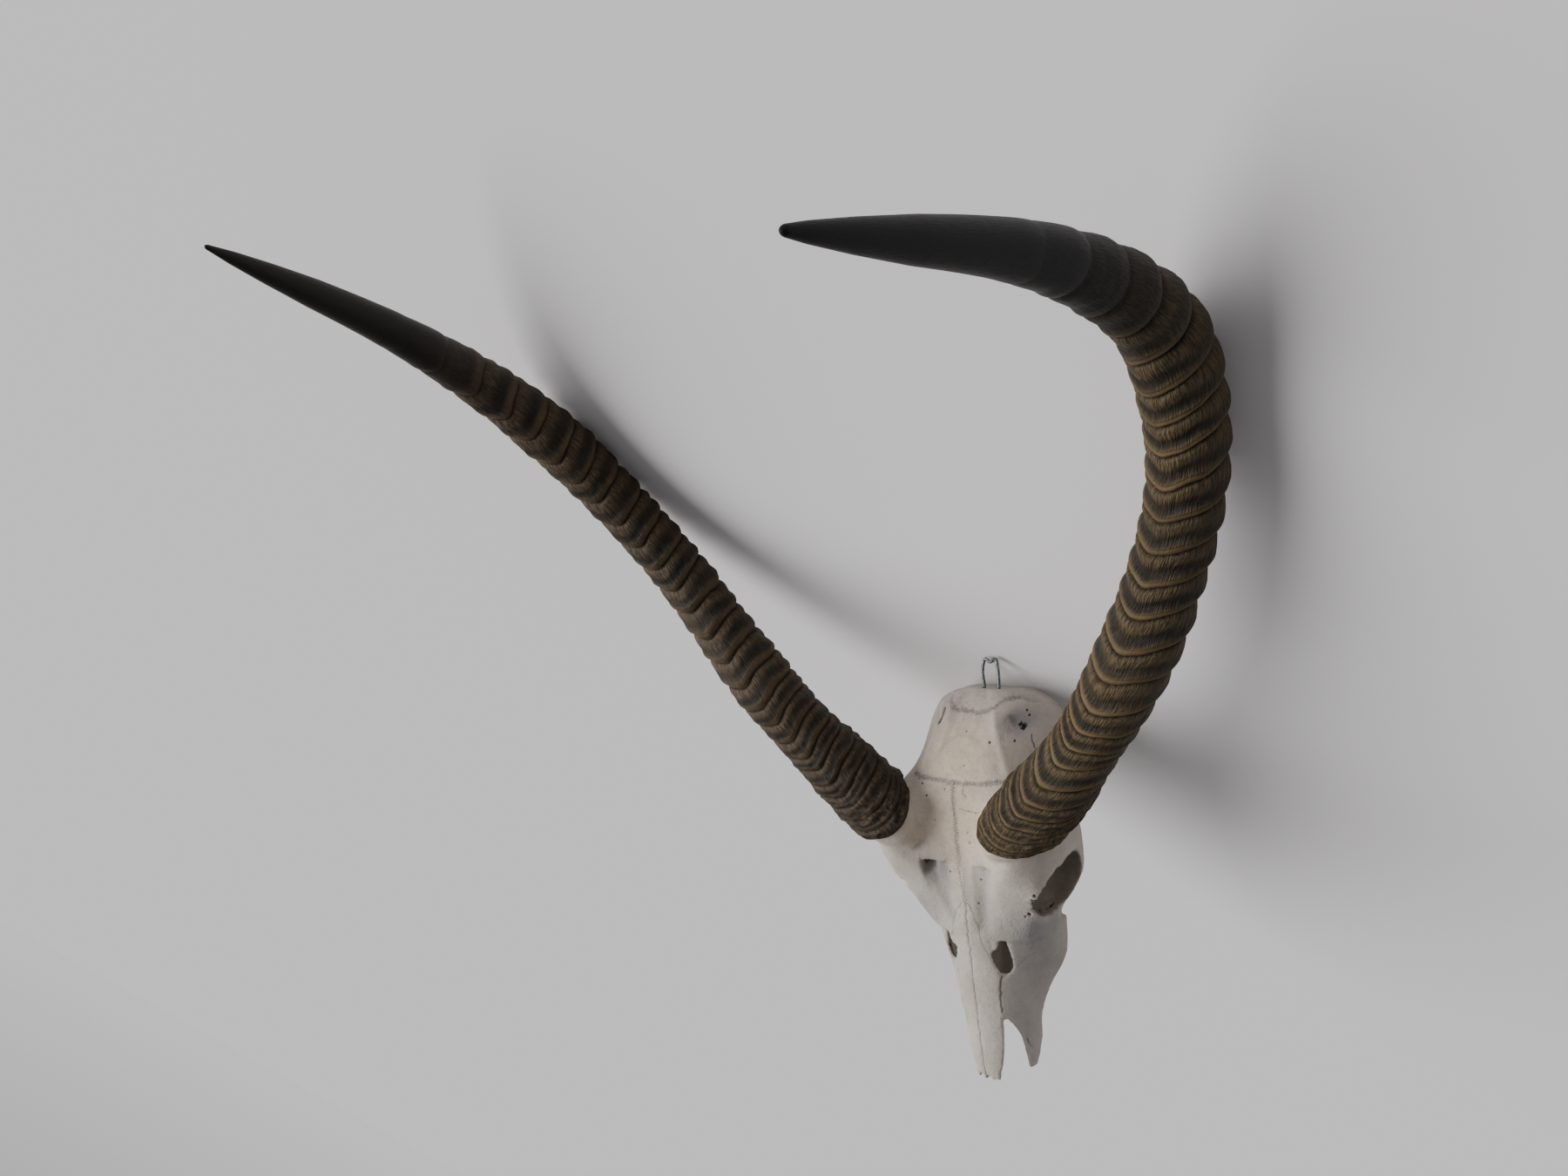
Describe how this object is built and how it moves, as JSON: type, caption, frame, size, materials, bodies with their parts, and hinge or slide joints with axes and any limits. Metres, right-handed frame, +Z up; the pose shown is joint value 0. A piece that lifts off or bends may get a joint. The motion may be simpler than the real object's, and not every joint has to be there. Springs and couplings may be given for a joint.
{
  "type": "antelope horns on skull",
  "caption": "Sawn antelope skull with long ringed horns that sweep outwards and curve to smooth tips, and a small bent wire loop at the back of the head for hanging.",
  "frame": {"origin": "on the ground, in the middle of the footprint of the trophy as it lies", "axes": "+Z up; +Y from the horn tips towards the nose; -X towards the horn that is on the right in the picture"},
  "size_m": [0.4862, 0.722, 0.2335],
  "materials": {
    "bone": "dry weathered bone, matt, with fine pits and grey sutures",
    "right_horn": "ringed olive-brown horn, satin, near black at the smooth tip",
    "left_horn": "ringed dark brown horn, satin, near black at the smooth tip",
    "steel_wire": "dull weathered steel wire"
  },
  "bodies": {
    "root": {"skull": "bone", "right_horn": "right_horn", "left_horn": "left_horn", "hanging_wire": "steel_wire"}
  },
  "joints": []
}
